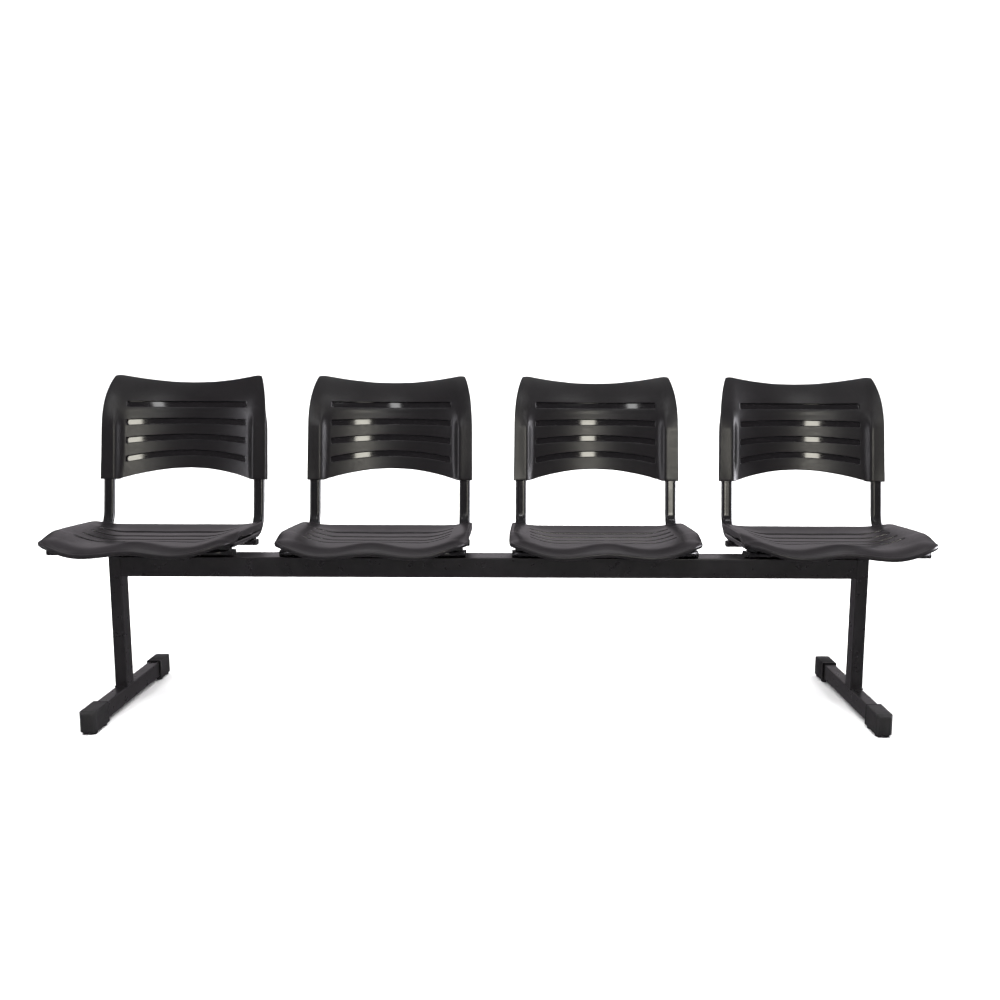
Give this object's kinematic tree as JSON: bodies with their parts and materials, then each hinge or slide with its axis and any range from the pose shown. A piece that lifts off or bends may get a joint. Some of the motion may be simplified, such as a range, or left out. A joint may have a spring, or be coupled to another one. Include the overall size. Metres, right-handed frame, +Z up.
{
  "type": "beam seating bench",
  "caption": "Beam seating with moulded grooved seats and backs on oval-tube frames, one rectangular beam and inverted-T end legs.",
  "frame": {"origin": "on the floor, at the centre of the bench's bounding box", "axes": "+X along the beam (the sitter's left), +Y towards the backs, +Z up; the sitter faces -Y"},
  "size_m": [2.1822, 0.6236, 0.8233],
  "materials": {
    "seat_plastic": "black injection-moulded polypropylene, fine texture worn to a sheen",
    "back_plastic": "black injection-moulded polypropylene, fine texture",
    "shoe_plastic": "black moulded plastic, fine texture",
    "plug_plastic": "black moulded plastic",
    "frame_gloss_paint": "glossy black powder coat on steel tube",
    "beam_paint": "semi-gloss black powder coat on steel tube",
    "zinc_fasteners": "zinc-plated screws and bolts"
  },
  "bodies": {
    "root": {"main_beam": "beam_paint", "leg_post_left": "beam_paint", "leg_post_right": "beam_paint", "foot_tube_left": "beam_paint", "foot_tube_right": "beam_paint", "foot_shoe_front_left": "shoe_plastic", "foot_shoe_front_right": "shoe_plastic", "foot_shoe_rear_left": "shoe_plastic", "foot_shoe_rear_right": "shoe_plastic", "leg_spigot_left": "beam_paint", "leg_spigot_right": "beam_paint", "leg_lock_bolts": "zinc_fasteners", "leg_cap_left": "plug_plastic", "leg_cap_right": "plug_plastic", "arm_end_plugs": "plug_plastic", "seat_shell_1": "seat_plastic", "back_shell_1": "back_plastic", "frame_tube_left_1": "frame_gloss_paint", "frame_tube_right_1": "frame_gloss_paint", "front_crossbar_1": "frame_gloss_paint", "rear_crossbar_1": "frame_gloss_paint", "support_arms_1": "beam_paint", "tube_end_plugs_1": "plug_plastic", "seat_screws_1": "zinc_fasteners", "back_screws_1": "zinc_fasteners", "frame_bolts_1": "zinc_fasteners", "seat_shell_2": "seat_plastic", "back_shell_2": "back_plastic", "frame_tube_left_2": "frame_gloss_paint", "frame_tube_right_2": "frame_gloss_paint", "front_crossbar_2": "frame_gloss_paint", "rear_crossbar_2": "frame_gloss_paint", "support_arms_2": "beam_paint", "tube_end_plugs_2": "plug_plastic", "seat_screws_2": "zinc_fasteners", "back_screws_2": "zinc_fasteners", "frame_bolts_2": "zinc_fasteners", "seat_shell_3": "seat_plastic", "back_shell_3": "back_plastic", "frame_tube_left_3": "frame_gloss_paint", "frame_tube_right_3": "frame_gloss_paint", "front_crossbar_3": "frame_gloss_paint", "rear_crossbar_3": "frame_gloss_paint", "support_arms_3": "beam_paint", "tube_end_plugs_3": "plug_plastic", "seat_screws_3": "zinc_fasteners", "back_screws_3": "zinc_fasteners", "frame_bolts_3": "zinc_fasteners", "seat_shell_4": "seat_plastic", "back_shell_4": "back_plastic", "frame_tube_left_4": "frame_gloss_paint", "frame_tube_right_4": "frame_gloss_paint", "front_crossbar_4": "frame_gloss_paint", "rear_crossbar_4": "frame_gloss_paint", "support_arms_4": "beam_paint", "tube_end_plugs_4": "plug_plastic", "seat_screws_4": "zinc_fasteners", "back_screws_4": "zinc_fasteners", "frame_bolts_4": "zinc_fasteners"}
  },
  "joints": []
}
